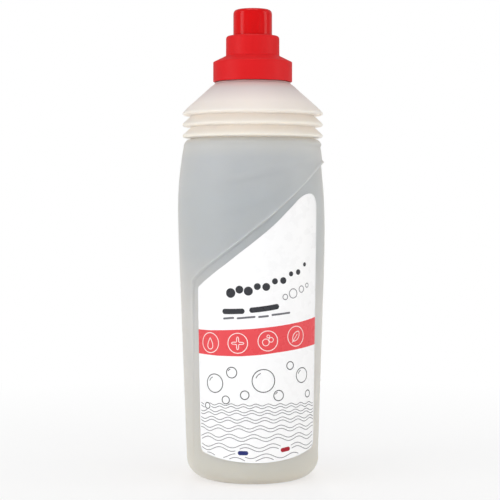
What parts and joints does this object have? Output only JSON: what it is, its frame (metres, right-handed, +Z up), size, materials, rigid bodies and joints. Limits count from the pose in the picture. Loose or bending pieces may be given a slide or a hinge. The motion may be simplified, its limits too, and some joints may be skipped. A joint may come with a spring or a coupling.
{
  "type": "toilet cleaner bottle",
  "caption": "Round translucent bottle of toilet cleaning gel with a ribbed shoulder, a screw-on closure with a pouring nozzle, a pull-off overcap and two wrap labels.",
  "frame": {"origin": "middle of the ring that the bottle stands on", "axes": "+Z up along the neck's axis; the front label faces -Y; the panel's tall side is at +X"},
  "size_m": [0.0849, 0.0864, 0.27],
  "materials": {
    "bottle_shell": "translucent natural polyethylene, satin",
    "gasket_foam": "white foam",
    "closure_satin": "satin red polypropylene",
    "overcap_gloss": "glossy red polypropylene",
    "label_film": "printed white film",
    "gel": "clear bluish gel"
  },
  "bodies": {
    "bottle": {"bottle": "bottle_shell", "front_label": "label_film", "back_label": "label_film", "cleaning_gel": "gel"},
    "gasket": {"gasket": "gasket_foam"},
    "closure": {"spout_closure": "closure_satin"},
    "overcap": {"overcap": "overcap_gloss"}
  },
  "joints": [
    {"name": "closure_lift", "type": "slide", "parent": "bottle", "child": "gasket", "axis": [0, 0, 1], "range_m": [0, 0.0105]},
    {"name": "closure_turn", "type": "hinge", "parent": "gasket", "child": "closure", "pos_m": [0, 0, 0.2], "axis": [0, 0, 1], "range_deg": [0, 900]},
    {"name": "overcap_pull", "type": "slide", "parent": "closure", "child": "overcap", "axis": [0, 0, 1], "range_m": [0, 0.016]}
  ],
  "couplings": [
    {"joint": "closure_lift", "follows": "closure_turn", "m_per_rad": 0.00066845}
  ]
}
